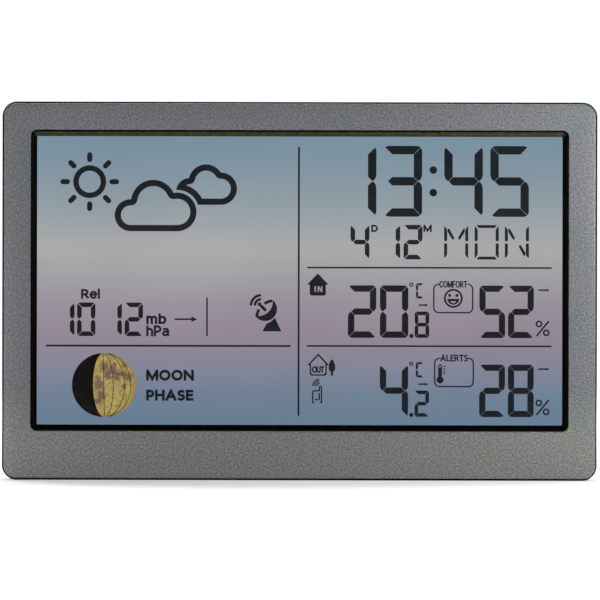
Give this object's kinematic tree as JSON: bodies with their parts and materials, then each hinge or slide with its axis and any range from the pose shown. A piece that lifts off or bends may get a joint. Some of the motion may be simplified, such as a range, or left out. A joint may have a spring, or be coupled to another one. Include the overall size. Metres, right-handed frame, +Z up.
{
  "type": "home weather station console",
  "caption": "Free-standing weather station console: a wide backlit LCD in a graphite frame, with rear keys, a battery bay, wall keyholes and a fold-out stand.",
  "frame": {"origin": "middle of the flat underside, on the surface that it stands on", "axes": "+X to the right seen from the front, +Y from the display towards the rear, +Z up"},
  "size_m": [0.195, 0.026, 0.124],
  "materials": {
    "frame_plastic": "satin graphite paint with a fine metallic fleck",
    "black_shell": "fine matt texture",
    "black_gloss": "glossy",
    "window_glass": "clear, polished",
    "polariser_film": "grey polarising film",
    "lcd_glass": "thin display glass",
    "diffuser": "matt white film",
    "acrylic": "clear acrylic",
    "reflector": "white reflecting film",
    "white_board": "white solder mask",
    "led_body": "LED packages with phosphor",
    "white_plastic": "white moulded plastic",
    "zebra_rubber": "striped silicone rubber",
    "circuit_board": "green solder mask",
    "potting": "black potting resin",
    "cap_sleeve": "shrink sleeve",
    "tin_plate": "tinned metal",
    "orange_wire": "PVC insulation",
    "ferrite": "sintered ferrite",
    "coil_wire": "enamelled copper winding",
    "sensor_board": "green solder mask",
    "moulded_black": "moulded black plastic",
    "switch_metal": "stamped steel shell",
    "cell_wrap": "printed cell wrap, no lettering",
    "spring_steel": "nickel-plated spring wire",
    "pad_rubber": "soft black rubber",
    "key_plastic": "satin key caps",
    "screw_steel": "zinc-plated steel",
    "battery_wire": "PVC insulation, one red and one black",
    "ribbon": "grey flat cable",
    "thin_wire": "thin PVC wires"
  },
  "bodies": {
    "console": {"front_frame": "frame_plastic", "display_bezel": "black_gloss", "window_lens": "window_glass", "front_polariser": "polariser_film", "lcd_front_glass": "lcd_glass", "lcd_rear_glass": "lcd_glass", "rear_polariser": "polariser_film", "diffuser_film": "diffuser", "light_guide": "acrylic", "reflector_film": "reflector", "led_boards": "white_board", "backlight_leds": "led_body", "display_holder": "white_plastic", "zebra_strips": "zebra_rubber", "main_board": "circuit_board", "controller_chip": "potting", "capacitors": "cap_sleeve", "quartz_crystal": "tin_plate", "radio_receiver": "circuit_board", "radio_antenna": "orange_wire", "ferrite_rod": "ferrite", "antenna_coil": "coil_wire", "pressure_sensor": "tin_plate", "climate_sensor": "sensor_board", "buzzer": "moulded_black", "power_jack": "moulded_black", "snooze_switch": "switch_metal", "rear_cover": "black_shell", "batteries": "cell_wrap", "battery_contacts": "tin_plate", "battery_springs": "spring_steel", "key_board_left": "circuit_board", "key_board_right": "circuit_board", "tact_switches": "switch_metal", "slide_switches": "switch_metal", "case_screws": "screw_steel", "board_screws": "screw_steel", "holder_screws": "screw_steel", "key_board_screws": "screw_steel", "battery_wires": "battery_wire", "ribbon_cables": "ribbon", "sensor_wires": "thin_wire", "led_wires": "thin_wire"},
    "stand": {"table_stand": "black_shell", "stand_pad": "pad_rubber"},
    "door": {"battery_door": "black_shell"},
    "snooze_key": {"snooze_button": "key_plastic"},
    "unit_slider": {"unit_knob": "key_plastic"},
    "dimmer_slider": {"dimmer_knob": "key_plastic"},
    "mode_key": {"mode_button": "key_plastic"},
    "set_key": {"set_button": "key_plastic"},
    "up_key": {"up_button": "key_plastic"},
    "down_key": {"down_button": "key_plastic"},
    "alarm_key": {"alarm_button": "key_plastic"},
    "history_key": {"history_button": "key_plastic"},
    "channel_key": {"channel_button": "key_plastic"},
    "pressure_key": {"pressure_button": "key_plastic"}
  },
  "joints": [
    {"name": "stand_fold", "type": "hinge", "parent": "console", "child": "stand", "pos_m": [0, 0.0113, 0.0105], "axis": [-1, 0, 0], "range_deg": [0, 90]},
    {"name": "door_tip", "type": "hinge", "parent": "console", "child": "door", "pos_m": [0, 0.013, 0.0587], "axis": [-1, 0, 0], "range_deg": [0, 75]},
    {"name": "snooze_press", "type": "slide", "parent": "console", "child": "snooze_key", "axis": [0, 0, -1], "range_m": [0, 0.0008], "stiffness_N_per_m": 400, "springref_m": -0.0002},
    {"name": "mode_press", "type": "slide", "parent": "console", "child": "mode_key", "axis": [0, -1, 0], "range_m": [0, 0.0006], "stiffness_N_per_m": 400, "springref_m": -0.0002},
    {"name": "set_press", "type": "slide", "parent": "console", "child": "set_key", "axis": [0, -1, 0], "range_m": [0, 0.0006], "stiffness_N_per_m": 400, "springref_m": -0.0002},
    {"name": "up_press", "type": "slide", "parent": "console", "child": "up_key", "axis": [0, -1, 0], "range_m": [0, 0.0006], "stiffness_N_per_m": 400, "springref_m": -0.0002},
    {"name": "down_press", "type": "slide", "parent": "console", "child": "down_key", "axis": [0, -1, 0], "range_m": [0, 0.0006], "stiffness_N_per_m": 400, "springref_m": -0.0002},
    {"name": "alarm_press", "type": "slide", "parent": "console", "child": "alarm_key", "axis": [0, -1, 0], "range_m": [0, 0.0006], "stiffness_N_per_m": 400, "springref_m": -0.0002},
    {"name": "history_press", "type": "slide", "parent": "console", "child": "history_key", "axis": [0, -1, 0], "range_m": [0, 0.0006], "stiffness_N_per_m": 400, "springref_m": -0.0002},
    {"name": "channel_press", "type": "slide", "parent": "console", "child": "channel_key", "axis": [0, -1, 0], "range_m": [0, 0.0006], "stiffness_N_per_m": 400, "springref_m": -0.0002},
    {"name": "pressure_press", "type": "slide", "parent": "console", "child": "pressure_key", "axis": [0, -1, 0], "range_m": [0, 0.0006], "stiffness_N_per_m": 400, "springref_m": -0.0002},
    {"name": "unit_slide", "type": "slide", "parent": "console", "child": "unit_slider", "axis": [0, 0, 1], "range_m": [0, 0.003]},
    {"name": "dimmer_slide", "type": "slide", "parent": "console", "child": "dimmer_slider", "axis": [0, 0, 1], "range_m": [0, 0.003]}
  ]
}
